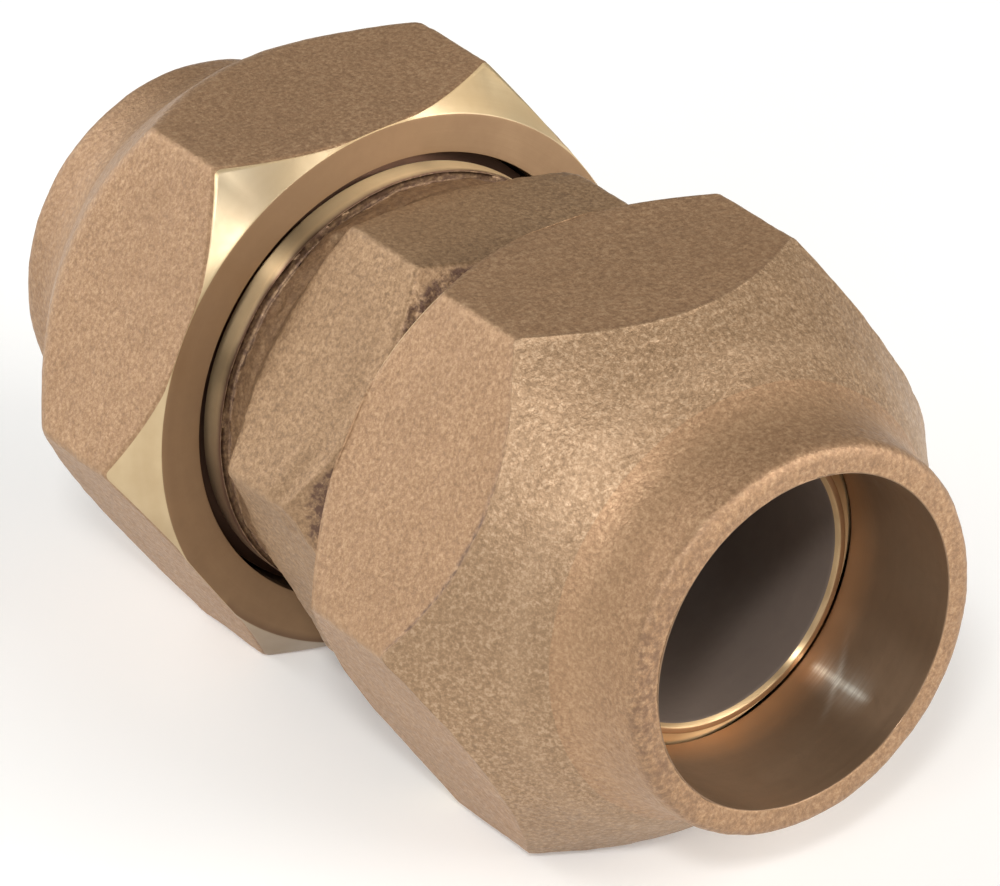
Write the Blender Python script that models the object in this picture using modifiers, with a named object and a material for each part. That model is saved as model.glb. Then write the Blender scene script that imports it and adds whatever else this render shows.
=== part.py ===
"""A flare union for copper tube: a hexagon body between two flare nuts.

The tube axis is world X. The origin is on that axis, half way along the body.
Every turned piece is drawn along its own Z axis and then laid along X.
"""

import math

import bmesh
import bpy
from mathutils import Matrix

MM = 0.001

# Driving dimensions, in millimetres.
TUBE_BORE_R = 11.3  # the plain bore in a nut's mouth, for the outside of the tube
BODY_BORE_R = 9.48  # the bore through the body, the same as the inside of the tube
UNION_HALF = 34.4  # from the middle to a nut's mouth
NUT_LENGTH = 25.45
NUT_APOTHEM = 18.68  # half the distance across a nut's flats
BODY_APOTHEM = 15.38
HEX_HALF = 5.1  # half the width of the body's hexagon
NOSE_REACH = 25.5  # from the middle to the tip of a flare nose
NOSE_R = 10.15  # the outer edge of the tip
THREAD_MAJOR_R = 15.6
CLEARANCE = 0.35  # between a nut and the body, at the thread and at the seat

# Rolls about the tube axis, in degrees, that show how the pieces are turned.
LEFT_NUT_ROLL = 3.1
BODY_ROLL = -5.6

# Details, in millimetres. Reaches are measured from the middle unless they say otherwise.
NECK_R = 14.95  # the cast neck beside the hexagon
NECK_END = 7.75
GROOVE_R = 14.5
COLLAR_START = 8.15
COLLAR_R = 15.08  # the turned collar between the groove and the thread
THREAD_START = 10.4
THREAD_RUN_IN = 0.5  # the thread's first slope, along the axis
MOUTH_R = 13.27  # the outside of the nut's collar, at its mouth
MOUTH_ROUND = 0.85
MOUTH_BREAK = 0.2
COLLAR_FOOT_R = 13.5
COLLAR_LENGTH = 3.7
NUT_FACE_R = 18.8
NUT_CHAMFER = 3.1
DOME_TOP = 11.15  # from the mouth to the dome's edge half way along a flat
DOME_FOOT_R = 16.25
DOME_FOOT = 7.9  # from the mouth to where the dome turns hollow
COLLAR_HOLLOW = (0.35, 1.5)  # how far the collar's line runs on before it bends to the dome
DOME_SLOPE = 1.33  # along the axis, for each millimetre of radius
LEAD_IN = 0.45
NOSE_ROUND = 0.82
HEX_ROUNDING = 1.3  # how far down the body hexagon's corners are turned off
HEX_FACE_LIP = 0.1  # the turned face of the body hexagon is this much wider than its flats

# Sizes of cutters and blanks, in millimetres.
OVERSIZE = 0.3  # round blanks stand this far outside the corners of their hexagon
CUT_PAST = 1.0  # cutters run this far past the faces that they cut
FLATS_PAST = 5.0
CUTTER_WALL = 2.0  # how deep the bore's cutter reaches inside the bore
TURNED_STEPS = 60
ARC_STEPS = 4

HEX_R_PER_APOTHEM = 1.0 / math.cos(math.radians(30.0))
NUT_FACE = UNION_HALF - NUT_LENGTH
NUT_CORNER_R = NUT_APOTHEM * HEX_R_PER_APOTHEM
BODY_CORNER_R = BODY_APOTHEM * HEX_R_PER_APOTHEM
SEAT_SUM = NOSE_R + NOSE_REACH  # radius plus reach is the same all along a 45 degree cone
NUT_SEAT_SUM = SEAT_SUM + CLEARANCE * math.sqrt(2.0)
NUT_THREAD_R = THREAD_MAJOR_R + CLEARANCE


def clear_scene():
    for thing in list(bpy.data.objects):
        bpy.data.objects.remove(thing)


def new_collection(name):
    collection = bpy.data.collections.new(name)
    bpy.context.scene.collection.children.link(collection)
    return collection


def material(name, colour, roughness):
    made = bpy.data.materials.new(name)
    made.use_nodes = True
    made.diffuse_color = (*colour, 1.0)
    shader = made.node_tree.nodes["Principled BSDF"]
    shader.inputs["Base Color"].default_value = (*colour, 1.0)
    shader.inputs["Metallic"].default_value = 1.0
    shader.inputs["Roughness"].default_value = roughness
    return made


def arc(centre, radius, start, end, steps=ARC_STEPS):
    """Points on a round corner, as (radius, reach), from one angle to another in degrees."""
    angles = [math.radians(start + (end - start) * k / steps) for k in range(steps + 1)]
    return [(centre[0] + radius * math.cos(a), centre[1] + radius * math.sin(a)) for a in angles]


def smooth_curve(start, corner, end, steps=6):
    """Points on the curve that leaves start toward corner and reaches end from it."""
    points = []
    for k in range(steps + 1):
        t = k / steps
        weights = ((1 - t) ** 2, 2 * t * (1 - t), t * t)
        points.append(tuple(sum(w * p[i] for w, p in zip(weights, (start, corner, end)))
                            for i in (0, 1)))
    return points


def turned(name, outline, collection):
    """Spin an outline of (radius, reach) points about Z; it runs down its outer side."""
    mesh = bpy.data.meshes.new(name)
    edges = [(k, (k + 1) % len(outline)) for k in range(len(outline))]
    mesh.from_pydata([(r * MM, 0.0, z * MM) for r, z in outline], edges, [])
    made = bpy.data.objects.new(name, mesh)
    collection.objects.link(made)
    spin = made.modifiers.new("turn", "SCREW")
    spin.steps = TURNED_STEPS
    spin.render_steps = TURNED_STEPS
    spin.use_merge_vertices = True
    spin.merge_threshold = 0.000001
    return made


def hexagon(name, apothem, low, high, collection):
    """A six-sided bar along Z with two of its flats facing local +X and -X."""
    mesh = bpy.data.meshes.new(name)
    shape = bmesh.new()
    radius = apothem * HEX_R_PER_APOTHEM * MM
    bmesh.ops.create_cone(
        shape, cap_ends=True, segments=6, radius1=radius, radius2=radius, depth=(high - low) * MM
    )
    turn = Matrix.Rotation(math.radians(30.0), 4, "Z")
    lift = Matrix.Translation((0.0, 0.0, (low + high) / 2.0 * MM))
    flat_at_x = abs(max(v.co.x for v in shape.verts) - radius) > 0.1 * MM
    bmesh.ops.transform(shape, matrix=lift if flat_at_x else lift @ turn, verts=shape.verts)
    shape.to_mesh(mesh)
    shape.free()
    made = bpy.data.objects.new(name, mesh)
    collection.objects.link(made)
    return made


def as_tool(tool):
    tool.hide_render = True
    tool.display_type = "WIRE"
    return tool


def cut(target, tool, operation):
    """Combine the target with a tool by a Boolean that stays on the target."""
    step = target.modifiers.new(tool.name, "BOOLEAN")
    step.operation = operation
    step.solver = "EXACT"
    step.object = as_tool(tool)


def shade(made, degrees=35.0):
    """Apply the modelling steps and shade the round walls smooth."""
    graph = bpy.context.evaluated_depsgraph_get()
    mesh = bpy.data.meshes.new_from_object(made.evaluated_get(graph))
    made.modifiers.clear()
    made.data = mesh
    mesh.shade_smooth()
    mesh.set_sharp_from_angle(angle=math.radians(degrees))


def nut_blank(tools):
    """The nut as it would be turned from round bar, before its flats."""
    over = NUT_CORNER_R + OVERSIZE
    chamfer_end = NUT_FACE + NUT_CHAMFER * (over - NUT_FACE_R) / (NUT_CORNER_R - NUT_FACE_R)
    dome_rise = DOME_SLOPE * (over - NUT_APOTHEM)
    dome_edge = UNION_HALF - DOME_TOP
    collar_foot = UNION_HALF - COLLAR_LENGTH
    dome_foot = UNION_HALF - DOME_FOOT
    seat_end = NUT_SEAT_SUM - TUBE_BORE_R
    thread_end = NUT_SEAT_SUM - NUT_THREAD_R
    mouth = (MOUTH_R - MOUTH_ROUND, UNION_HALF - MOUTH_ROUND)
    outline = [(TUBE_BORE_R + MOUTH_BREAK, UNION_HALF)]
    outline += reversed(arc(mouth, MOUTH_ROUND, 0.0, 90.0))
    outline += smooth_curve(
        (COLLAR_FOOT_R, collar_foot),
        (COLLAR_FOOT_R + COLLAR_HOLLOW[0], collar_foot - COLLAR_HOLLOW[1]),
        (DOME_FOOT_R, dome_foot),
    )
    outline += [
        (NUT_APOTHEM, dome_edge),
        (over, dome_edge - dome_rise),
        (over, chamfer_end),
        (NUT_FACE_R, NUT_FACE),
        (NUT_THREAD_R + LEAD_IN, NUT_FACE),
        (NUT_THREAD_R, NUT_FACE + LEAD_IN),
        (NUT_THREAD_R, thread_end),
        (TUBE_BORE_R, seat_end),
        (TUBE_BORE_R, UNION_HALF - MOUTH_BREAK),
    ]
    return turned("nut_mesh", outline, tools)


def nut_mesh(tools):
    blank = nut_blank(tools)
    cut(blank, hexagon("nut_flats", NUT_APOTHEM, 0.0, UNION_HALF + FLATS_PAST, tools), "INTERSECT")
    shade(blank)
    mesh = blank.data
    bpy.data.objects.remove(blank)
    return mesh


def thread_end_outline(side):
    """One end of the body, from the middle outward: neck, collar, thread, cone and nose."""
    cone_start = SEAT_SUM - THREAD_MAJOR_R
    points = [
        (NECK_R, 0.0),
        (NECK_R, NECK_END),
        (GROOVE_R, (NECK_END + COLLAR_START) / 2.0),
        (COLLAR_R, COLLAR_START),
        (COLLAR_R, THREAD_START),
        (THREAD_MAJOR_R, THREAD_START + THREAD_RUN_IN),
        (THREAD_MAJOR_R, cone_start),
        (NOSE_R, NOSE_REACH),
        (BODY_BORE_R - CUTTER_WALL, NOSE_REACH),
    ]
    return [(r, side * z) for r, z in points]


def body_mesh(tools):
    """The core is turned, the hexagon is joined on, and the bore is cut last."""
    upper = thread_end_outline(1.0)
    lower = thread_end_outline(-1.0)
    outline = list(reversed(upper[1:])) + lower[1:]
    core = turned("body_mesh", outline, tools)

    hexagon_part = hexagon("body_flats", BODY_APOTHEM, -HEX_HALF, HEX_HALF, tools)
    over = BODY_CORNER_R + OVERSIZE
    inner = BODY_BORE_R + CUT_PAST
    face_r = BODY_APOTHEM + HEX_FACE_LIP
    shoulder = HEX_HALF - HEX_ROUNDING
    past_hex = HEX_HALF + CUT_PAST
    rounding = [
        (inner, past_hex),
        (face_r, past_hex),
        (face_r, HEX_HALF),
        (over, shoulder),
        (over, -shoulder),
        (face_r, -HEX_HALF),
        (face_r, -past_hex),
        (inner, -past_hex),
    ]
    cut(hexagon_part, turned("body_round", rounding, tools), "INTERSECT")
    cut(core, hexagon_part, "UNION")

    flare = arc((BODY_BORE_R + NOSE_ROUND, NOSE_REACH - NOSE_ROUND), NOSE_ROUND, 90.0, 180.0)
    past_nose = NOSE_REACH + CUT_PAST
    side = [(BODY_BORE_R + NOSE_ROUND, past_nose)] + flare
    mirrored = [(r, -z) for r, z in reversed(side)]
    inside_r = BODY_BORE_R - CUTTER_WALL
    bore = [(inside_r, past_nose)] + side + mirrored + [(inside_r, -past_nose)]
    cut(core, turned("bore", bore, tools), "DIFFERENCE")
    shade(core)
    mesh = core.data
    bpy.data.objects.remove(core)
    return mesh


def place(name, mesh, collection, finish, side, roll):
    """Lay a piece along X, its own Z toward the given side, and roll it about the axis."""
    made = bpy.data.objects.new(name, mesh)
    collection.objects.link(made)
    lay = Matrix.Rotation(math.radians(90.0 * side), 4, "Y")
    turn = Matrix.Rotation(math.radians(roll), 4, "X")
    made.matrix_world = turn @ lay
    made.data.materials.clear()
    made.data.materials.append(finish)
    return made


def main():
    clear_scene()
    parts = new_collection("pipe_union")
    tools = new_collection("tools")
    place("union_body", body_mesh(tools), parts, material("body_bronze", (0.42, 0.24, 0.12), 0.42),
          1.0, BODY_ROLL)
    nut = nut_mesh(tools)
    finish = material("nut_bronze", (0.45, 0.26, 0.13), 0.45)
    place("left_nut", nut, parts, finish, -1.0, LEFT_NUT_ROLL)
    place("right_nut", nut, parts, finish, 1.0, 0.0)


main()
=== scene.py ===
"""The looks of a flare union: two cast and turned flare nuts on a hexagon body."""

import math

import bpy
import numpy as np
from mathutils import Matrix, Quaternion, Vector, noise


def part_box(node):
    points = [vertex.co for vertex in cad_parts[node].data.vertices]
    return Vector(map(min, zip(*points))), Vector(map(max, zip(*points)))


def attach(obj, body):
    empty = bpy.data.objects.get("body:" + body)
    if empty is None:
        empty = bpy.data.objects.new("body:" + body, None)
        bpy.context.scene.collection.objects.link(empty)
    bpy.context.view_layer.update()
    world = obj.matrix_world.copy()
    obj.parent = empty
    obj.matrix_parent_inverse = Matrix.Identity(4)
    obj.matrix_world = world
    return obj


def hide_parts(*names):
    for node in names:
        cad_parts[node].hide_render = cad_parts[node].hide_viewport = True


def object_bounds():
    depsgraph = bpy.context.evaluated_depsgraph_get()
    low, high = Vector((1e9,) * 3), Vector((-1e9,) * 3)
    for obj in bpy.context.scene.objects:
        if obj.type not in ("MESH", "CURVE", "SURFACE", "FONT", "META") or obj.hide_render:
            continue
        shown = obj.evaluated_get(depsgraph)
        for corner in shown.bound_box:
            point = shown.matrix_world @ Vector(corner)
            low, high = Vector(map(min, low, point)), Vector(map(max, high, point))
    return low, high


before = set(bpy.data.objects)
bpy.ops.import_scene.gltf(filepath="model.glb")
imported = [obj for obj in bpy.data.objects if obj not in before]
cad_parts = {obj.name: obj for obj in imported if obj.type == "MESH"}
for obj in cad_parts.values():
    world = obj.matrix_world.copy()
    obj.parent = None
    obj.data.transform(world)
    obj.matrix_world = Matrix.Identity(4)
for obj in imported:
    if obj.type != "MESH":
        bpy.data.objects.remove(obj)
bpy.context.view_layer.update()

MM = 0.001

# Sizes that the frame gives, in millimetres.
_, body_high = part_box("union_body")
nut_low, nut_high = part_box("right_nut")
NOSE_REACH = body_high.x / MM
MOUTH = nut_high.x / MM
NUT_FACE = nut_low.x / MM
NUT_APOTHEM = nut_high.z / MM

# Sizes of the turned and cast details, in millimetres.
BORE_R = 11.3
BODY_BORE_R = 9.48
BODY_APOTHEM = 15.38
NOSE_R = 10.12
THREAD_R = 15.6  # the crests of the body's thread
THREAD_PITCH = 2.117
THREAD_DEPTH = 1.05
CLEARANCE = 0.35  # between the two threads
SEAT_GAP = 0.2  # between the nose's cone and the nut's seat
BODY_CORNER_RISE = 2.38  # how far a sharp corner of the body's hexagon stands over its flats
NUT_ROUNDING = 0.7
BODY_ROUNDING = 0.8
BODY_RELIEF = 1.2  # how uneven the body's casting is, next to a nut's
NECK_RELIEF = 2.8
NECK_R = 14.9
NECK_TOP_R = 16.5  # the painted shade and the rough skin on a neck stop at this radius
NECK_START = 3.5  # and at this distance from the middle
NECK_END = 7.35
FLASH_PLACE = -5.9  # on the axis, where the casting's flash stands up
GROOVE_R = 14.5
COLLAR_START = 7.75
COLLAR_R = 15.0
COLLAR_END = 9.75
RELIEF_R = 14.3  # between the collar and the thread
THREAD_START = 10.9
THREAD_LEAD = 0.6  # how far the thread's end slopes, on the body
BORE_BREAK_R = 0.24  # how much wider the body's bore is at its ends
BORE_BREAK = 0.35
LIP = 0.1  # how far the inner edge of a nut's face stands in from the thread's wall
LIP_LENGTH = 0.3
MOUTH_R = 13.27  # the outside of a nut's mouth
FACE_R = 18.8  # the outside of a nut's turned face
CHAMFER_RISE = 3.1 / 2.77  # along the axis, for each millimetre of radius
DOME_FOOT_R = 13.6  # where the collar round a nut's mouth bends into the dome
DOME_FOOT = 29.6
DOME_SHOULDER_R = 16.4  # where the dome bends again, toward the flats
DOME_SHOULDER = 26.35
DOME_RISE = 1.33  # along the axis, for each millimetre of radius
DOME_EDGE = MOUTH - 11.15  # where the dome leaves a flat, midway between two corners
HIGHLIGHT_STREAK_START = MOUTH - 3.0  # the two ends of the painted highlight streak in a nut's bore
HIGHLIGHT_STREAK_END = 25.4
SCRATCH = 28.0  # where a scratch line crosses it, painted pale as part of the painted highlight
GLOW_START = 27.5  # deeper in than this, a nut's bore is painted with an orange glow

# How the pieces are turned about the axis, in degrees, and the seeds of their castings.
LEFT_NUT_ROLL = 3.1
BODY_ROLL = -5.6
RIGHT_NUT_SEED = 17.0
LEFT_NUT_SEED = 53.0
BODY_SEED = 31.0

# Where the marks lie round the axis, from the top toward -Y before a piece is turned.
CHAMFER_SHADE_TURN = math.radians(210.0)  # where a nut's chamfer gets painted shade, on its underside
RIM_SHADE_TURN = math.radians(90.0)  # where the painted shade on a nut's rim is darkest
CREASE_TURN = math.radians(72.0)  # where the painted shadow line round a nut's dome is darkest, its painted highlight palest and its ridge tallest
HIGHLIGHT_STREAK_TURN = math.radians(221.0)  # where the painted highlight streak lies in a nut's bore
COLLAR_SHADE_TURN = math.radians(120.0)  # where the body's collar gets painted shade, on its lower side
SHORT_TURN = math.radians(90.0)  # the corner of the body that is cast short
FLASH_TURN = math.radians(28.0)  # where the casting's flash stands up

# How the hexagons are sampled round the axis, in degrees from a corner.
CORNER_ZONE = 1.8
CORNER_STEPS = 12
FLAT_STEPS = 56

# Rows of the body's mesh along its hexagon and along its bore, between its two ends.
HEXAGON_ROWS = 13
BORE_ROWS = 16

# The camera's direction in degrees, and its distance, aim, lens and sensor in millimetres.
VIEW_AZIMUTH = 55.0
VIEW_ELEVATION = 29.35
VIEW_ROLL = -1.78
VIEW_DISTANCE = 450.0
VIEW_AIM_X = 2.3
LENS = 250.45
SENSOR = 36.0

PAINTED_SHADE_COLOUR = (0.12, 0.062, 0.038)  # the colour of painted shade, in creases, grooves, the relief inside a nut and the shaded sides of rims, collars and chamfers
HIGHLIGHT_STREAK_COLOUR = (0.95, 0.90, 0.78)  # the colour of the painted highlight streak
FINE_GROOVES = 0.00002  # the depth of the lathe's rings, in metres
DEEP_GROOVES = 0.00003

# Material slots. A nut has the first five, and the body's fourth slot is its nose.
CAST, TURNED, BORE, FACE, DOME = 0, 1, 2, 3, 4
NOSE = 3


# ---------------------------------------------------------------- outlines

def angles():
    """Angles round the axis, closer together at the six corners."""
    corner = np.linspace(-CORNER_ZONE, CORNER_ZONE, CORNER_STEPS + 1)[:-1]
    flat = np.linspace(CORNER_ZONE, 60.0 - CORNER_ZONE, FLAT_STEPS + 1)[:-1]
    sector = np.concatenate([corner, flat])
    return np.radians(np.concatenate([sector + 30.0 + 60.0 * k for k in range(6)]))


def from_corner(turn):
    """The angle from the nearest corner, for corners at 30, 90, 150 and so on."""
    return (turn - math.radians(30.0) + math.pi / 6.0) % (math.pi / 3.0) - math.pi / 6.0


def hexagon_radius(turn, apothem, rounding):
    """The radius of a hexagon with rounded corners in each direction."""
    off = np.abs(from_corner(turn))
    flat = apothem / np.cos(math.pi / 6.0 - off)
    centre = (apothem - rounding) / math.cos(math.pi / 6.0)
    edge = math.atan2(rounding * 0.5, centre + rounding * math.cos(math.pi / 6.0))
    inside = np.clip(rounding**2 - (centre * np.sin(off)) ** 2, 0.0, None)
    bow = centre * np.cos(off) + np.sqrt(inside)
    return np.where(off < edge, bow, flat)


def station(r, z, trim, zone, rows):
    """A corner of an outline: how much of it is rounded off, and what follows it."""
    return {"r": r, "z": z, "trim": trim, "zone": zone, "rows": rows}


def outline_rows(stations, turn, bend_rows=4):
    """Rows of points round the piece that follow a closed outline with rounded corners.

    Also gives each row's zone, and how near to the middle of a bend it lies, from 0 to 1.
    """
    count = len(turn)
    points = [np.stack([np.broadcast_to(np.asarray(s["r"], float), count),
                        np.broadcast_to(np.asarray(s["z"], float), count)]) for s in stations]
    rows, zones, bends = [], [], []
    total = len(stations)
    for k, here in enumerate(stations):
        before, at, after = points[k - 1], points[k], points[(k + 1) % total]
        into, out = at - before, after - at
        into_length = np.hypot(*into)
        out_length = np.hypot(*out)
        trim_in = np.minimum(here["trim"], 0.48 * into_length) / np.maximum(into_length, 1e-9)
        trim_out = np.minimum(here["trim"], 0.48 * out_length) / np.maximum(out_length, 1e-9)
        start, end = at - into * trim_in, at + out * trim_out
        for j in range(bend_rows + 1):
            t = j / bend_rows
            rows.append((1 - t) ** 2 * start + 2 * t * (1 - t) * at + t * t * end)
            # A cast skin goes on over an edge, and other finishes meet in the middle of it.
            skin_ends = 1.0 if stations[k - 1]["zone"] == CAST else 0.5
            zones.append(stations[k - 1]["zone"] if t < skin_ends else here["zone"])
            bends.append(1.0 - abs(2.0 * t - 1.0))
        following = stations[(k + 1) % total]
        next_trim = np.minimum(following["trim"], 0.48 * out_length)
        finish = after - out * next_trim / np.maximum(out_length, 1e-9)
        for j in range(1, here["rows"]):
            t = j / here["rows"]
            rows.append(end + (finish - end) * t)
            zones.append(here["zone"])
            bends.append(0.0)
    return np.array(rows), zones, np.array(bends)


def thread_form(phase):
    """A rounded V thread: 0 at a crest and 1 at a root, for a phase in turns."""
    slope = np.abs((phase % 1.0) * 2.0 - 1.0)
    return np.clip((slope - 0.12) / 0.76, 0.0, 1.0)


def cut_thread(rows, turn, low, high, wall_r, depth):
    """Presses a right-hand thread into the wall that lies between two places on the axis."""
    r, z = rows[:, 0], rows[:, 1]
    along = (z - low) * (high - z)
    on_wall = (np.abs(r - wall_r) < 0.05) & (along > 0.0)
    fade = np.clip(np.minimum(z - low, high - z) / (0.7 * THREAD_PITCH), 0.0, 1.0)
    phase = z / THREAD_PITCH - turn[None, :] / (2.0 * math.pi)
    rows[:, 0] = np.where(on_wall, r + depth * fade * thread_form(phase), r)


# ---------------------------------------------------------------- meshes

def cast_relief(point, seed):
    """The unevenness of a sand casting, in millimetres, at a point in millimetres."""
    p = point + Vector((seed, 3.0 * seed, -seed))
    waves = 0.09 * noise.noise(p * 0.16) + 0.04 * noise.noise(p * 0.45)
    lumps = 0.018 * noise.noise(p * 1.1) + 0.018 * noise.noise(p * 2.1)
    pit = max(0.0, noise.noise(p * 0.8 + Vector((9.0, 2.0, 5.0))) - 0.42)
    return waves + lumps - 0.12 * pit - 0.07


def grid_normals(xyz):
    """The outward direction at each point of a closed grid."""
    along = np.roll(xyz, -1, axis=0) - np.roll(xyz, 1, axis=0)
    around = np.roll(xyz, -1, axis=1) - np.roll(xyz, 1, axis=1)
    normal = np.cross(along, around)
    return normal / np.maximum(np.linalg.norm(normal, axis=2, keepdims=True), 1e-12)


def ring_mesh(name, rows, turn, zones, wear_and_highlight, shade_and_glow, burr, seed, relief_scale, finishes):
    """A closed mesh from rows round the X axis, with the casting's relief on its cast rows."""
    r, x = rows[:, 0], rows[:, 1]
    xyz = np.stack([x, -r * np.sin(turn)[None, :], r * np.cos(turn)[None, :]], axis=2)
    normal = grid_normals(xyz)
    for j, scale in enumerate(relief_scale):
        if scale > 0.0:
            lift = [cast_relief(Vector(p), seed) for p in xyz[j]]
            ragged = [0.6 + 0.9 * noise.noise(Vector(p) * 0.7) for p in xyz[j]]
            xyz[j] += normal[j] * (np.array(lift) * scale + burr[j] * np.array(ragged))[:, None]
    row_count, count = r.shape
    index = np.arange(row_count * count).reshape(row_count, count)
    down, across = np.roll(index, -1, axis=0), np.roll(index, -1, axis=1)
    corner = np.roll(down, -1, axis=1)
    quads = np.stack([index, down, corner, across], axis=2).reshape(-1, 4)
    mesh = bpy.data.meshes.new(name)
    mesh.from_pydata((xyz.reshape(-1, 3) * MM).tolist(), [], quads.tolist())
    for finish in finishes:
        mesh.materials.append(finish)
    mesh.polygons.foreach_set("material_index", np.repeat(np.array(zones), count))
    for label, amount in (("wear_and_highlight", wear_and_highlight), ("shade_and_glow", shade_and_glow)):
        mark = mesh.attributes.new(label, "FLOAT", "POINT")
        mark.data.foreach_set("value", amount.reshape(-1))
    mesh.shade_smooth()
    mesh.update()
    made = bpy.data.objects.new(name, mesh)
    bpy.context.scene.collection.objects.link(made)
    return made


def corner_wear(turn):
    """1 along the six corners and 0 on the flats."""
    return np.exp(-((from_corner(turn) / math.radians(1.3)) ** 2))


def painted_highlight_streak(rows, turn):
    """A painted highlight streak along the bore with a pale scratch line across it, from 0 to
    1.
    """
    off = np.degrees(turn - HIGHLIGHT_STREAK_TURN)[None, :]
    x = rows[:, 1]
    within = np.clip((HIGHLIGHT_STREAK_START - x) / 1.5, 0.0, 1.0) * np.clip((x - HIGHLIGHT_STREAK_END) / 0.6, 0.0, 1.0)
    broad = 0.25 * np.exp(-((off / 5.0) ** 2)) * within
    narrow = 0.85 * np.exp(-((off / 1.3) ** 2)) * within
    scratch = np.exp(-(((x - SCRATCH + 0.09 * off) / 0.22) ** 2))
    across = 0.5 * scratch * np.exp(-((off / 8.0) ** 2))
    return np.clip(broad + narrow + across, 0.0, 1.0)


def near_turn(turn, place, width):
    """1 at a place round the axis, falling off over a width in degrees on either side."""
    return np.exp(-(((turn - place) / math.radians(width)) ** 2))


def nut_marks(rows, bends, turn, hexagon, chamfer, dome, ridge):
    """Where a nut is abraded and raised, and where it gets painted highlights, painted shade
    and a painted glow, as a number for each point.
    """
    r, x = rows[:, 0], rows[:, 1]
    on_hexagon = np.abs(r - hexagon[None, :]) < 0.2
    outside = x > NUT_FACE + 1.0
    wear_and_highlight = np.maximum(0.6 * bends[:, None] * outside, on_hexagon * corner_wear(turn))
    on_bore = np.abs(r - BORE_R) < 0.1
    # A painted orange glow deep in the bore.
    shade_and_glow = np.where(on_bore, np.clip((GLOW_START - x) / 3.0, 0.0, 1.0), 0.0)
    # The painted highlight streak along the bore.
    wear_and_highlight = np.where(np.abs(r - BORE_R) < 0.13, painted_highlight_streak(rows, turn), wear_and_highlight)

    # Painted shade on the underside of a nut's chamfer.
    in_chamfer = (x < chamfer[None, :]) & (r > FACE_R - 0.3)
    dark_patch = 0.6 * near_turn(turn, CHAMFER_SHADE_TURN, 32.0)
    shade_and_glow = np.where(in_chamfer, dark_patch[None, :], shade_and_glow)

    # Painted shade all round a nut's rim, darker round one side.
    rim_shade = 0.35 + 0.5 * near_turn(turn, RIM_SHADE_TURN, 45.0)
    on_rim = np.clip((x - MOUTH + 0.9) / 0.6, 0.0, 1.0) * (r > BORE_R + 0.13)
    shade_and_glow = np.where(on_rim > 0.0, on_rim * rim_shade[None, :], shade_and_glow)

    # A painted shadow line on the flat beside the dome, and a raised ridge on the dome's side
    # of it with a pale painted highlight.
    creased = 0.25 + 1.2 * near_turn(turn, CREASE_TURN, 17.0)
    beside = np.exp(-(((x - dome[None, :] + 0.15) / 0.16) ** 2)) * on_hexagon
    shade_and_glow = np.maximum(shade_and_glow, (ridge > 0.0) * 1.2 * creased[None, :] * beside)
    on_arc = np.abs(x - dome[None, :]) < 0.3
    raised = creased[None, :] * bends[:, None] * on_arc
    wear_and_highlight = np.where(on_arc, np.maximum(wear_and_highlight, (ridge > 0.0) * 1.6 * raised), wear_and_highlight)
    return wear_and_highlight, shade_and_glow, ridge * raised


def nut(name, seed, finishes, edge, ridge, low):
    """A flare nut with its mouth toward +X.

    edge is how far the line round the dome is rounded off, ridge is how far it stands up, and
    low is how far the turned face lies under the middle of the cast hexagon.
    """
    turn = angles()
    hexagon = hexagon_radius(turn, NUT_APOTHEM, NUT_ROUNDING)
    chamfer = NUT_FACE + np.clip(hexagon - FACE_R, 0.0, None) * CHAMFER_RISE
    face_edge = np.minimum(hexagon, FACE_R - low * np.cos(turn))
    dome = DOME_EDGE - (hexagon - NUT_APOTHEM) * DOME_RISE
    wall_r = THREAD_R + CLEARANCE
    seat_sum = NOSE_R + NOSE_REACH + SEAT_GAP * math.sqrt(2.0)  # radius and place on the seat
    thread_end = seat_sum - wall_r
    stations = [
        station(BORE_R, MOUTH, 0.12, CAST, 5),
        station(MOUTH_R, MOUTH, 0.95, CAST, 5),
        station(DOME_FOOT_R, DOME_FOOT, 2.6, DOME, 12),
        station(DOME_SHOULDER_R, DOME_SHOULDER, 1.2, DOME, 12),
        station(hexagon, dome, edge, CAST, 40),
        station(hexagon, chamfer, 0.22, TURNED, 10),
        station(face_edge, NUT_FACE, 0.10, FACE, 6),
        station(wall_r - LIP, NUT_FACE, 0.06, BORE, 3),
        station(wall_r, NUT_FACE + LIP_LENGTH, 0.10, BORE, 46),
        station(wall_r, thread_end, 0.10, BORE, 7),
        station(BORE_R, seat_sum - BORE_R, 0.06, BORE, 44),
    ]
    rows, zones, bends = outline_rows(stations, turn)
    cut_thread(rows, turn, NUT_FACE, thread_end, wall_r, THREAD_DEPTH)
    relief = [1.0 if zone in (CAST, DOME) else 0.0 for zone in zones]
    wear_and_highlight, shade_and_glow, burr = nut_marks(rows, bends, turn, hexagon, chamfer, dome, ridge)
    return ring_mesh(name, rows, turn, zones, wear_and_highlight, shade_and_glow, burr, seed, relief, finishes)


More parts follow.
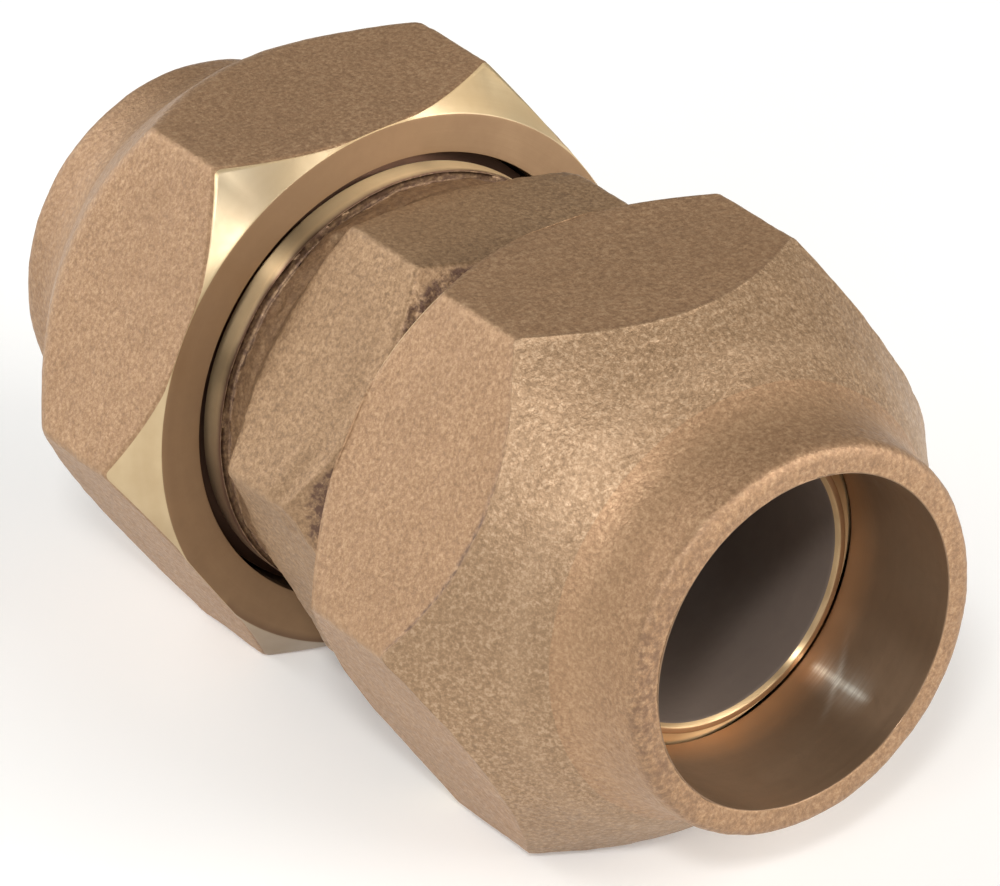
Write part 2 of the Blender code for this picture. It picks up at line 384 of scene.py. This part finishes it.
def body_end(hexagon, turn, flat_reach, corner_reach, lip_reach, short):
    """One end of the body from the hexagon outward, as (radius, reach, trim, zone, rows).

    The hexagon ends at flat_reach midway along a flat and at corner_reach on a corner, less
    short at the corner that is cast short. The neck starts at lip_reach.
    """
    over = hexagon - BODY_APOTHEM
    shorter = short * near_turn(turn, SHORT_TURN, 22.0)
    top = flat_reach - over * (flat_reach - corner_reach + shorter) / BODY_CORNER_RISE
    cone_start = NOSE_R + NOSE_REACH - THREAD_R
    ragged = np.array([
        0.16 * noise.noise(Vector((3.0 * math.sin(t), 3.0 * math.cos(t), lip_reach)))
        + 0.10 * noise.noise(Vector((11.0 * math.sin(t), 11.0 * math.cos(t), lip_reach)))
        for t in turn
    ])
    groove = NECK_END + ragged
    return [
        (hexagon, top, 0.35, CAST, 8),
        (NECK_R + 0.1, lip_reach, 0.12, CAST, 7),
        (NECK_R, groove, 0.08, CAST, 2),
        (GROOVE_R, groove + 0.14, 0.04, CAST, 2),
        (GROOVE_R, groove + 0.26, 0.04, CAST, 2),
        (COLLAR_R, COLLAR_START + 0.3 * ragged, 0.05, TURNED, 3),
        (COLLAR_R, COLLAR_END, 0.08, TURNED, 2),
        (RELIEF_R, COLLAR_END + 0.15, 0.08, TURNED, 2),
        (RELIEF_R, THREAD_START - THREAD_LEAD, 0.1, TURNED, 2),
        (THREAD_R, THREAD_START, 0.1, TURNED, 25),
        (THREAD_R, cone_start, 0.12, TURNED, 4),
        (NOSE_R, NOSE_REACH, 0.1, NOSE, 3),
        (BODY_BORE_R + BORE_BREAK_R, NOSE_REACH, 0.1, TURNED, 2),
        (BODY_BORE_R, NOSE_REACH - BORE_BREAK, 0.2, BORE, 8),
    ]


def body_marks(rows, turn, hexagon, on_neck):
    """Where the body is abraded and raised, and where it gets painted shade, as a number for
    each point.
    """
    r, x, reach = rows[:, 0], rows[:, 1], np.abs(rows[:, 1])
    wear_and_highlight = (np.abs(r - hexagon[None, :]) < 0.2) * corner_wear(turn)

    # Painted shade in the neck's groove: on the near end darker the deeper under the hexagon,
    # on the far end darker next to the collar.
    far_side = np.where(reach > NECK_END - 0.25, 1.1, 0.5)
    near_side = 1.7 * np.clip((hexagon[None, :] - r - 0.15) / 0.3, 0.0, 1.0)
    in_neck = (reach > NECK_START) & (r < NECK_TOP_R)
    in_groove = in_neck & (reach < COLLAR_START + 0.1) & (r < hexagon - 0.1)
    shade_and_glow = np.where(in_groove, np.where(x < 0.0, far_side, near_side), 0.0)
    # Painted shade on the lower side of the far collar.
    on_collar = (np.abs(r - COLLAR_R) < 0.15) & (reach > COLLAR_START + 0.15) & (x < 0.0)
    collar_shade = 0.9 * near_turn(turn, COLLAR_SHADE_TURN, 45.0)
    shade_and_glow = np.where(on_collar, collar_shade[None, :], shade_and_glow)
    # Painted shade on the relief, where it lies inside the nut.
    in_relief = (reach > COLLAR_END + 0.04) & (reach < THREAD_START)
    shade_and_glow = np.where(in_relief, 1.0, shade_and_glow)

    from_lump = (turn - FLASH_TURN + math.pi) % (2.0 * math.pi) - math.pi
    lump = near_turn(from_lump, 0.0, 6.0)[None, :] * np.exp(-((x - FLASH_PLACE) ** 2))
    return wear_and_highlight, shade_and_glow, 0.9 * lump * on_neck


def body(name, seed, finishes):
    """The middle piece: a hexagon between two threaded ends."""
    turn = angles()
    hexagon = hexagon_radius(turn, BODY_APOTHEM, BODY_ROUNDING)
    near = body_end(hexagon, turn, flat_reach=5.9, corner_reach=4.2, lip_reach=6.2, short=1.3)
    far = body_end(hexagon, turn, flat_reach=4.6, corner_reach=3.2, lip_reach=5.45, short=0.0)
    # The near end is walked inward, so its zones and rows are those of the station before.
    stations = []
    for k in range(len(near) - 1, -1, -1):
        r, x, trim = near[k][:3]
        zone, count = near[k - 1][3:] if k else (CAST, HEXAGON_ROWS)
        stations.append(station(r, x, trim, zone, count))
    for r, x, trim, zone, count in far:
        stations.append(station(r, -np.asarray(x), trim, zone, count))
    stations[-1]["rows"] = BORE_ROWS
    rows, zones, _ = outline_rows(stations, turn, bend_rows=3)
    cone_start = NOSE_R + NOSE_REACH - THREAD_R
    cut_thread(rows, turn, THREAD_START, cone_start, THREAD_R, -THREAD_DEPTH)
    cut_thread(rows, turn, -cone_start, -THREAD_START, THREAD_R, -THREAD_DEPTH)
    r, reach = rows[:, 0], np.abs(rows[:, 1])
    on_neck = (reach > NECK_START) & (reach < COLLAR_START - 0.1)
    on_neck &= (r < NECK_TOP_R) & (r > GROOVE_R - 0.3)
    rougher = on_neck.mean(axis=1) > 0.4
    relief = [(NECK_RELIEF if more else BODY_RELIEF) if zone == CAST else 0.0
              for zone, more in zip(zones, rougher)]
    wear_and_highlight, shade_and_glow, burr = body_marks(rows, turn, hexagon, on_neck)
    return ring_mesh(name, rows, turn, zones, wear_and_highlight, shade_and_glow, burr, seed, relief, finishes)


# ---------------------------------------------------------------- materials

def new_material(name, colour, metallic, roughness):
    """A material with its node tree and its shader, before any texture is linked."""
    made = bpy.data.materials.new(name)
    made.use_nodes = True
    made.diffuse_color = (*colour, 1.0)
    tree = made.node_tree
    shader = tree.nodes["Principled BSDF"]
    shader.inputs["Metallic"].default_value = metallic
    shader.inputs["Roughness"].default_value = roughness
    return made, tree, shader


def add(tree, kind, **settings):
    """A new node with its settings."""
    node = tree.nodes.new(kind)
    for key, value in settings.items():
        setattr(node, key, value)
    return node


def noise_at(tree, coordinates, scale, detail=2.0, rough=0.5):
    """Noise whose scale is the number of its grains in a metre, roughly."""
    node = add(tree, "ShaderNodeTexNoise")
    node.inputs["Scale"].default_value = scale
    node.inputs["Detail"].default_value = detail
    node.inputs["Roughness"].default_value = rough
    tree.links.new(coordinates, node.inputs["Vector"])
    return node.outputs["Fac"]


def ramp(tree, value, stops):
    """A colour ramp; each stop is (place, (r, g, b))."""
    node = add(tree, "ShaderNodeValToRGB")
    elements = node.color_ramp.elements
    while len(elements) < len(stops):
        elements.new(0.5)
    for element, (place, colour) in zip(elements, stops):
        element.position = place
        element.color = (*colour, 1.0)
    tree.links.new(value, node.inputs["Fac"])
    return node.outputs["Color"]


def remap(tree, value, low, high, new_low, new_high):
    """The value moved from one range to another, and kept inside it."""
    node = add(tree, "ShaderNodeMapRange")
    for key, number in (("From Min", low), ("From Max", high), ("To Min", new_low),
                        ("To Max", new_high)):
        node.inputs[key].default_value = number
    tree.links.new(value, node.inputs["Value"])
    return node.outputs["Result"]


def mix(tree, factor, first, second):
    """A colour between two others; every input may be a socket."""
    node = add(tree, "ShaderNodeMix", data_type="RGBA", blend_type="MIX")
    for socket, value in ((node.inputs[0], factor), (node.inputs[6], first),
                          (node.inputs[7], second)):
        if isinstance(value, bpy.types.NodeSocket):
            tree.links.new(value, socket)
        elif isinstance(value, tuple):
            socket.default_value = (*value, 1.0)
        else:
            socket.default_value = value
    return node.outputs[2]


def math_node(tree, operation, first, second):
    """One sum of two values; each is a number or a socket."""
    node = add(tree, "ShaderNodeMath", operation=operation)
    for socket, value in zip(node.inputs, (first, second)):
        if isinstance(value, bpy.types.NodeSocket):
            tree.links.new(value, socket)
        else:
            socket.default_value = value
    return node.outputs[0]


def bump(tree, height, distance, strength, below=None):
    """A bump of a distance in metres, on top of the one below."""
    node = add(tree, "ShaderNodeBump")
    node.inputs["Strength"].default_value = strength
    node.inputs["Distance"].default_value = distance
    tree.links.new(height, node.inputs["Height"])
    if below is not None:
        tree.links.new(below, node.inputs["Normal"])
    return node.outputs["Normal"]


def cast_bronze(name, dark, mid, light, roughness=(0.40, 0.58)):
    """Sand-cast bronze: grains a third of a millimetre across, pits, pale edges abraded by use,
    pale painted highlights and painted shade.
    """
    made, tree, shader = new_material(name, mid, 0.45, 0.5)
    place = add(tree, "ShaderNodeTexCoord").outputs["Object"]
    grain = noise_at(tree, place, 3300.0, 3.0, 0.75)
    speck = noise_at(tree, place, 2300.0, 2.0, 0.6)
    patch = noise_at(tree, place, 120.0, 3.0, 0.55)
    colour = ramp(tree, grain, [(0.33, dark), (0.50, mid), (0.67, light)])
    patched = mix(tree, remap(tree, patch, 0.35, 0.7, 0.0, 0.30), colour, dark)
    # Edges pale from use, and a pale painted highlight on the dome's ridge.
    wear_and_highlight = add(tree, "ShaderNodeAttribute", attribute_name="wear_and_highlight").outputs["Fac"]
    worn_and_highlit = mix(tree, math_node(tree, "MULTIPLY", wear_and_highlight, 0.22), patched, light)
    # Painted shade, broken up into blotches.
    shade_and_glow = add(tree, "ShaderNodeAttribute", attribute_name="shade_and_glow").outputs["Fac"]
    blotch = remap(tree, noise_at(tree, place, 1900.0, 4.0, 0.7), 0.38, 0.60, 0.0, 0.8)
    shaded = mix(tree, math_node(tree, "MULTIPLY", shade_and_glow, blotch), worn_and_highlit, PAINTED_SHADE_COLOUR)
    tree.links.new(shaded, shader.inputs["Base Color"])
    tree.links.new(remap(tree, speck, 0.3, 0.7, *roughness), shader.inputs["Roughness"])
    coarse = bump(tree, speck, 0.00008, 0.6)
    tree.links.new(bump(tree, grain, 0.00005, 0.8, coarse), shader.inputs["Normal"])
    return made


def turned_bronze(name, colour, tarnish, roughness, groove, metallic, anisotropic=0.6,
                  glow=None, coat=0.0):
    """Bronze cut on a lathe: fine rings that follow the surface round the axis, with painted
    shade from an attribute.

    glow is the colour of a painted orange glow deep in a bore, which also gets a painted
    highlight streak.
    """
    made, tree, shader = new_material(name, colour, metallic, roughness)
    place = add(tree, "ShaderNodeTexCoord").outputs["Object"]
    split = add(tree, "ShaderNodeSeparateXYZ")
    tree.links.new(place, split.inputs[0])
    square_y = math_node(tree, "MULTIPLY", split.outputs["Y"], split.outputs["Y"])
    square_z = math_node(tree, "MULTIPLY", split.outputs["Z"], split.outputs["Z"])
    radius = math_node(tree, "SQRT", math_node(tree, "ADD", square_y, square_z), 0.0)
    rings = add(tree, "ShaderNodeCombineXYZ")
    tree.links.new(split.outputs["X"], rings.inputs["X"])
    tree.links.new(radius, rings.inputs["Y"])
    fine = noise_at(tree, rings.outputs[0], 5200.0, 2.0, 0.6)
    wide = noise_at(tree, rings.outputs[0], 900.0, 1.0, 0.5)
    dark_patch = noise_at(tree, place, 220.0, 4.0, 0.6)
    base = mix(tree, remap(tree, dark_patch, 0.4, 0.75, 0.0, 0.55), colour, tarnish)
    streaked = mix(tree, remap(tree, wide, 0.3, 0.7, 0.0, 0.3), base, tarnish)
    # Painted shade, and in a bore the painted orange glow instead.
    deep = add(tree, "ShaderNodeAttribute", attribute_name="shade_and_glow").outputs["Fac"]
    streaked = mix(tree, deep, streaked, glow or PAINTED_SHADE_COLOUR)
    # A bore also gets the painted highlight streak, in a pale colour.
    if glow is not None:
        highlight_streak = add(tree, "ShaderNodeAttribute", attribute_name="wear_and_highlight").outputs["Fac"]
        mottle = remap(tree, fine, 0.3, 0.6, 0.45, 1.0)
        streaked = mix(tree, math_node(tree, "MULTIPLY", highlight_streak, mottle), streaked, HIGHLIGHT_STREAK_COLOUR)
    tree.links.new(streaked, shader.inputs["Base Color"])
    tree.links.new(remap(tree, dark_patch, 0.3, 0.7, roughness * 0.85, roughness * 1.25),
                   shader.inputs["Roughness"])
    shader.inputs["Anisotropic"].default_value = anisotropic
    shader.inputs["Anisotropic Rotation"].default_value = 0.25
    shader.inputs["Coat Weight"].default_value = coat
    shader.inputs["Coat Roughness"].default_value = 0.35
    shader.inputs["Coat IOR"].default_value = 1.8
    tangent = add(tree, "ShaderNodeTangent", direction_type="RADIAL", axis="X")
    tree.links.new(tangent.outputs[0], shader.inputs["Tangent"])
    broad = bump(tree, wide, groove, 0.25)
    tree.links.new(bump(tree, fine, groove, 0.35, broad), shader.inputs["Normal"])
    return made


def nut_skin():
    """The nuts' cast flats and rims."""
    return cast_bronze("cast_bronze", (0.26, 0.150, 0.078), (0.36, 0.212, 0.112),
                       (0.48, 0.31, 0.175))


def dome_skin():
    """The right nut's dome, a little darker."""
    return cast_bronze("dome_bronze", (0.22, 0.135, 0.072), (0.32, 0.200, 0.108),
                       (0.48, 0.33, 0.205), roughness=(0.38, 0.54))


def body_skin():
    """The body's hexagon and necks."""
    return cast_bronze("body_casting", (0.22, 0.132, 0.070), (0.33, 0.202, 0.106),
                       (0.45, 0.292, 0.165))


def chamfer_finish():
    """The bright turned chamfers of the nuts."""
    return turned_bronze("turned_bronze", (0.64, 0.49, 0.28), (0.52, 0.36, 0.18), 0.42,
                         FINE_GROOVES, metallic=0.8, anisotropic=0.88, coat=0.5)


def collar_finish():
    """The body's collars, reliefs, threads and cones."""
    return turned_bronze("collar_bronze", (0.78, 0.57, 0.32), (0.50, 0.33, 0.17), 0.42,
                         FINE_GROOVES, metallic=0.85, anisotropic=1.0)


def face_finish():
    """The nuts' turned faces."""
    return turned_bronze("faced_bronze", (0.35, 0.22, 0.118), (0.25, 0.148, 0.078), 0.50,
                         FINE_GROOVES, metallic=0.6)


def nose_finish():
    """The flat noses at the body's two ends."""
    return turned_bronze("nose_bronze", (0.46, 0.27, 0.14), (0.36, 0.20, 0.10), 0.36,
                         FINE_GROOVES, metallic=0.85)


def nut_bore_finish():
    """The inside of the nuts, with a painted orange glow deep in and a painted highlight
    streak.
    """
    return turned_bronze("bored_bronze", (0.29, 0.185, 0.11), (0.19, 0.12, 0.07), 0.36,
                         DEEP_GROOVES, metallic=0.7, anisotropic=0.9, glow=(0.50, 0.29, 0.15))


def body_bore_finish():
    """The body's bore, matte, with a dark colour that is painted shade for the deep inside."""
    return turned_bronze("body_bore", (0.185, 0.142, 0.115), (0.15, 0.115, 0.094), 0.65,
                         FINE_GROOVES, metallic=0.1, anisotropic=0.0)


# ---------------------------------------------------------------- the union

def right_nut(finishes):
    """The near nut, with a sharp line round its dome."""
    return nut("right_nut_casting", RIGHT_NUT_SEED, finishes, edge=0.16, ridge=0.2, low=0.0)


def left_nut(finishes):
    """The far nut, turned round, with a softer line round its dome."""
    made = nut("left_nut_casting", LEFT_NUT_SEED, finishes, edge=0.8, ridge=0.0, low=0.3)
    turn_round = Matrix.Rotation(math.pi, 4, "Z")
    roll = Matrix.Rotation(math.radians(LEFT_NUT_ROLL), 4, "X")
    made.data.transform(roll @ turn_round)
    return made


def union_body(finishes):
    """The body, rolled as the photograph shows it."""
    made = body("union_body_casting", BODY_SEED, finishes)
    made.data.transform(Matrix.Rotation(math.radians(BODY_ROLL), 4, "X"))
    return made


def assemble():
    """Makes the three pieces and sets them on their bodies."""
    cast, dome, rough = nut_skin(), dome_skin(), body_skin()
    chamfer, collar, face = chamfer_finish(), collar_finish(), face_finish()
    nose, bored, inside = nose_finish(), nut_bore_finish(), body_bore_finish()
    for made, node, slot in (
        (right_nut((cast, chamfer, bored, face, dome)), "right_nut", "nut_bronze"),
        (left_nut((cast, chamfer, bored, face, cast)), "left_nut", "nut_bronze"),
        (union_body((rough, collar, inside, nose)), "union_body", "body_bronze"),
    ):
        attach(made, node)
        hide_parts(node)


# ---------------------------------------------------------------- the stage

def direction(azimuth, elevation):
    """The direction from the object to something; azimuth 0 is toward -Y, 90 toward +X."""
    a, e = math.radians(azimuth), math.radians(elevation)
    return Vector((math.sin(a) * math.cos(e), -math.cos(a) * math.cos(e), math.sin(e)))


def place_camera():
    """The camera that sees the union as the photograph does."""
    data = bpy.data.cameras.new("camera")
    data.sensor_width = SENSOR
    data.lens = LENS
    data.clip_start, data.clip_end = 0.01, 20.0
    made = bpy.data.objects.new("camera", data)
    bpy.context.scene.collection.objects.link(made)
    back = direction(VIEW_AZIMUTH, VIEW_ELEVATION)
    aim = Vector((VIEW_AIM_X * MM, 0.0, 0.0))
    made.location = aim + back * VIEW_DISTANCE * MM
    made.rotation_mode = "QUATERNION"
    tilt = Quaternion((0.0, 0.0, 1.0), math.radians(VIEW_ROLL))
    made.rotation_quaternion = (-back).to_track_quat("-Z", "Y") @ tilt
    bpy.context.scene.camera = made


def softbox(name, azimuth, elevation, distance, size, power, colour=(1.0, 1.0, 1.0)):
    """An area light that faces the object, with its distance and size in metres."""
    data = bpy.data.lights.new(name, "AREA")
    data.shape = "RECTANGLE"
    data.size, data.size_y = size
    data.energy = power
    data.color = colour
    made = bpy.data.objects.new(name, data)
    bpy.context.scene.collection.objects.link(made)
    toward = direction(azimuth, elevation)
    made.location = toward * distance
    made.rotation_mode = "QUATERNION"
    made.rotation_quaternion = toward.to_track_quat("Z", "Y")


def floor_finish():
    """A plain pale floor, a little lit up so that it comes out white."""
    made, tree, shader = new_material("pale_floor", (0.8, 0.8, 0.8), 0.0, 0.7)
    place = add(tree, "ShaderNodeTexCoord").outputs["Object"]
    cloud = noise_at(tree, place, 3.0, 2.0)
    shade = ramp(tree, cloud, [(0.3, (0.80, 0.80, 0.79)), (0.7, (0.84, 0.84, 0.83))])
    tree.links.new(shade, shader.inputs["Base Color"])
    shader.inputs["Emission Color"].default_value = (1.0, 1.0, 1.0, 1.0)
    shader.inputs["Emission Strength"].default_value = 0.22
    return made


def build_stage():
    """The floor, the surroundings and the lights."""
    low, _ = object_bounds()
    bpy.ops.mesh.primitive_plane_add(size=6.0, location=(0.0, 0.0, low.z - 0.05 * MM))
    ground = bpy.context.object
    ground.name = "floor"
    ground.data.materials.append(floor_finish())

    world = bpy.data.worlds.new("studio")
    world.use_nodes = True
    background = world.node_tree.nodes["Background"]
    background.inputs["Color"].default_value = (1.0, 1.0, 1.0, 1.0)
    background.inputs["Strength"].default_value = 0.16
    bpy.context.scene.world = world

    softbox("key", 51.5, 41.0, 0.9, (0.10, 0.10), 3.0)
    softbox("front_fill", 28.0, 26.0, 1.0, (0.3, 0.5), 2.6)
    softbox("left_fill", -62.0, 25.0, 1.0, (1.1, 0.9), 7.7, (1.0, 0.98, 0.94))
    softbox("right_fill", 112.0, 34.0, 1.0, (0.7, 0.5), 5.0, (1.0, 0.97, 0.93))
    softbox("low_right_fill", 132.0, 16.0, 1.0, (0.6, 0.5), 5.0, (1.0, 0.97, 0.93))
    bpy.context.scene.view_settings.view_transform = "Standard"


assemble()
place_camera()
build_stage()
